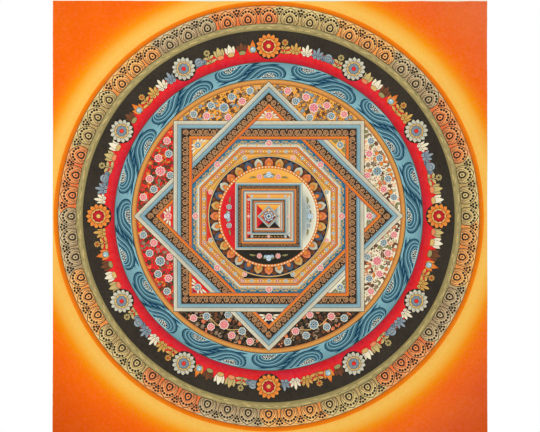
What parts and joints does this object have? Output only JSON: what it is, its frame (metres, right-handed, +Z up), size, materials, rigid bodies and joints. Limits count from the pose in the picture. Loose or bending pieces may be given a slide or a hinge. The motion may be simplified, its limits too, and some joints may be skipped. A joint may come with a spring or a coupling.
{
  "type": "thangka painting",
  "caption": "Square painted cotton canvas with a round mandala of nested bands on a glowing ground, hung by its top edge.",
  "frame": {"origin": "middle of the top edge, on the back face of the cloth", "axes": "+Z up, +Y from the painted face through the cloth to the wall, +X to the right as seen from the painted side"},
  "size_m": [0.7008, 0.0076, 0.6974],
  "materials": {
    "painted_canvas": "matte mineral pigments brushed on primed, burnished cotton, bare cloth behind"
  },
  "bodies": {
    "root": {"painted_canvas": "painted_canvas"}
  },
  "joints": []
}
